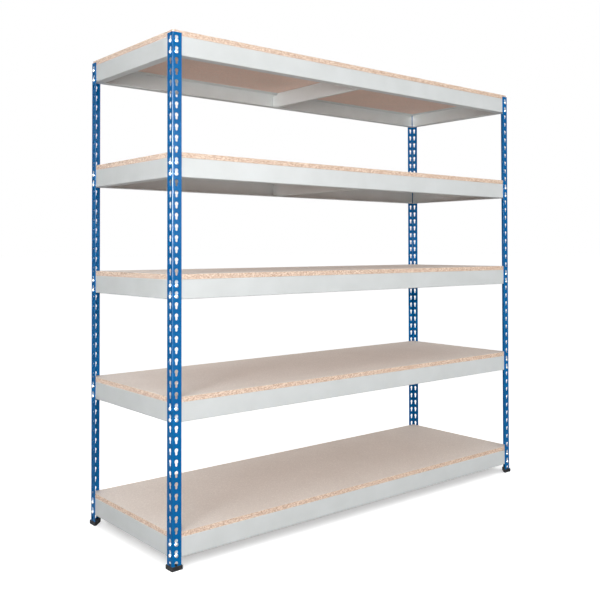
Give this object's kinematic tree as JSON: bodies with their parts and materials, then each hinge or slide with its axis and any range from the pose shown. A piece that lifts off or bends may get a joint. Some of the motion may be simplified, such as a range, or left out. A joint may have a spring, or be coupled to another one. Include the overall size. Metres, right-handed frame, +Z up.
{
  "type": "boltless steel shelving",
  "caption": "Freestanding rack of keyholed angle posts on plastic feet, with riveted channel beams, tie bars and loose chipboard decks.",
  "frame": {"origin": "on the floor, under the middle of the rack's bounding box", "axes": "+X along the width to the right, +Y towards the back (the front faces -Y), +Z up"},
  "size_m": [1.897, 0.634, 1.84],
  "materials": {
    "post_blue": "gloss powder coat",
    "beam_grey": "satin powder coat",
    "rivet_zinc": "bright zinc",
    "chipboard": "sanded raw chipboard",
    "foot_black": "matt moulded plastic"
  },
  "bodies": {
    "frame": {"post_front_left": "post_blue", "post_front_right": "post_blue", "post_back_right": "post_blue", "post_back_left": "post_blue", "foot_front_left": "foot_black", "foot_front_right": "foot_black", "foot_back_right": "foot_black", "foot_back_left": "foot_black"},
    "level_1": {"beam_1_front": "beam_grey", "rivets_1_front": "rivet_zinc", "beam_1_right": "beam_grey", "rivets_1_right": "rivet_zinc", "beam_1_back": "beam_grey", "rivets_1_back": "rivet_zinc", "beam_1_left": "beam_grey", "rivets_1_left": "rivet_zinc", "tie_bar_1": "beam_grey"},
    "deck_1": {"deck_1": "chipboard"},
    "level_2": {"beam_2_front": "beam_grey", "rivets_2_front": "rivet_zinc", "beam_2_right": "beam_grey", "rivets_2_right": "rivet_zinc", "beam_2_back": "beam_grey", "rivets_2_back": "rivet_zinc", "beam_2_left": "beam_grey", "rivets_2_left": "rivet_zinc", "tie_bar_2": "beam_grey"},
    "deck_2": {"deck_2": "chipboard"},
    "level_3": {"beam_3_front": "beam_grey", "rivets_3_front": "rivet_zinc", "beam_3_right": "beam_grey", "rivets_3_right": "rivet_zinc", "beam_3_back": "beam_grey", "rivets_3_back": "rivet_zinc", "beam_3_left": "beam_grey", "rivets_3_left": "rivet_zinc", "tie_bar_3": "beam_grey"},
    "deck_3": {"deck_3": "chipboard"},
    "level_4": {"beam_4_front": "beam_grey", "rivets_4_front": "rivet_zinc", "beam_4_right": "beam_grey", "rivets_4_right": "rivet_zinc", "beam_4_back": "beam_grey", "rivets_4_back": "rivet_zinc", "beam_4_left": "beam_grey", "rivets_4_left": "rivet_zinc", "tie_bar_4": "beam_grey"},
    "deck_4": {"deck_4": "chipboard"},
    "level_5": {"beam_5_front": "beam_grey", "rivets_5_front": "rivet_zinc", "beam_5_right": "beam_grey", "rivets_5_right": "rivet_zinc", "beam_5_back": "beam_grey", "rivets_5_back": "rivet_zinc", "beam_5_left": "beam_grey", "rivets_5_left": "rivet_zinc", "tie_bar_5": "beam_grey"},
    "deck_5": {"deck_5": "chipboard"}
  },
  "joints": [
    {"name": "level_1_unhook", "type": "slide", "parent": "frame", "child": "level_1", "axis": [0, 0, 1], "range_m": [0, 0.01225]},
    {"name": "deck_1_lift", "type": "slide", "parent": "level_1", "child": "deck_1", "axis": [0, 0, 1], "range_m": [0, 0.357]},
    {"name": "level_2_unhook", "type": "slide", "parent": "frame", "child": "level_2", "axis": [0, 0, 1], "range_m": [0, 0.01225]},
    {"name": "deck_2_lift", "type": "slide", "parent": "level_2", "child": "deck_2", "axis": [0, 0, 1], "range_m": [0, 0.319]},
    {"name": "level_3_unhook", "type": "slide", "parent": "frame", "child": "level_3", "axis": [0, 0, 1], "range_m": [0, 0.01225]},
    {"name": "deck_3_lift", "type": "slide", "parent": "level_3", "child": "deck_3", "axis": [0, 0, 1], "range_m": [0, 0.319]},
    {"name": "level_4_unhook", "type": "slide", "parent": "frame", "child": "level_4", "axis": [0, 0, 1], "range_m": [0, 0.01225]},
    {"name": "deck_4_lift", "type": "slide", "parent": "level_4", "child": "deck_4", "axis": [0, 0, 1], "range_m": [0, 0.319]},
    {"name": "level_5_unhook", "type": "slide", "parent": "frame", "child": "level_5", "axis": [0, 0, 1], "range_m": [0, 0.01225]},
    {"name": "deck_5_lift", "type": "slide", "parent": "level_5", "child": "deck_5", "axis": [0, 0, 1], "range_m": [0, 0.3]}
  ]
}
